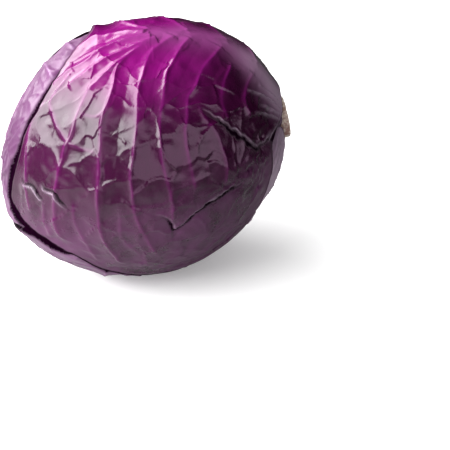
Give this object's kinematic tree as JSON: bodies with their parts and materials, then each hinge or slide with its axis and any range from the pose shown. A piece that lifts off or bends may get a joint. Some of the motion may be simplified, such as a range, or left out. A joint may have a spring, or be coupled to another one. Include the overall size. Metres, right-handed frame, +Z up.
{
  "type": "red cabbage",
  "caption": "Whole red cabbage head lying on its side, with loose purple wrapper leaves folded round a tight ball and a cut stem at one end.",
  "frame": {"origin": "on the floor, under the middle of the head's bounding box", "axes": "+X toward the cut stem, +Y toward the back of the head, +Z up from the surface it lies on"},
  "size_m": [0.1728, 0.1516, 0.1504],
  "materials": {
    "top_wrapper_leaf": "waxy satin leaf skin, magenta purple",
    "underside_leaf": "waxy leaf skin with a grey violet bloom",
    "back_leaf": "waxy satin leaf skin, dark purple",
    "crown_side_leaf": "waxy leaf skin, pale mauve",
    "lower_back_leaf": "waxy leaf skin, purple",
    "upper_back_leaf": "waxy leaf skin, dark purple",
    "inner_head": "satin dark purple inner leaves",
    "cut_stem": "dry pale cut stem"
  },
  "bodies": {
    "root": {"top_wrapper_leaf": "top_wrapper_leaf", "underside_leaf": "underside_leaf", "back_leaf": "back_leaf", "crown_side_leaf": "crown_side_leaf", "lower_back_leaf": "lower_back_leaf", "upper_back_leaf": "upper_back_leaf", "inner_head": "inner_head", "cut_stem": "cut_stem"}
  },
  "joints": []
}
